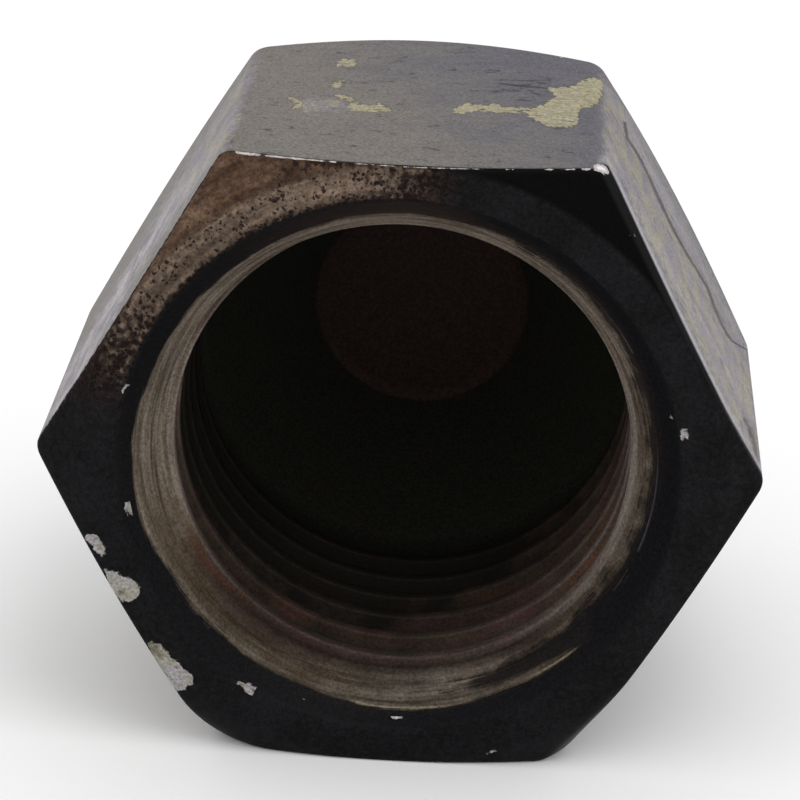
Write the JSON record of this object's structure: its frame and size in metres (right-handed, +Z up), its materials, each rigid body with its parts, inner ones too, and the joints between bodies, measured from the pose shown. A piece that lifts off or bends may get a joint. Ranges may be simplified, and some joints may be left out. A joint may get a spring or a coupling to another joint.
{
  "type": "hydraulic cap fitting",
  "caption": "Hexagonal steel cap that screws over a flared hydraulic port and seals it on an internal conical seat",
  "frame": {"origin": "middle of the footprint, on the surface that the cap lies on", "axes": "Y along the bore with the open mouth at -Y and the closed end at +Y, X corner to corner of the hexagon, Z up"},
  "size_m": [0.0202, 0.0178, 0.0175],
  "materials": {
    "painted_steel": "semi-gloss black enamel over yellow-passivated zinc plating, worn and chipped, with a bare thread"
  },
  "bodies": {
    "root": {"cap_nut": "painted_steel"}
  },
  "joints": []
}
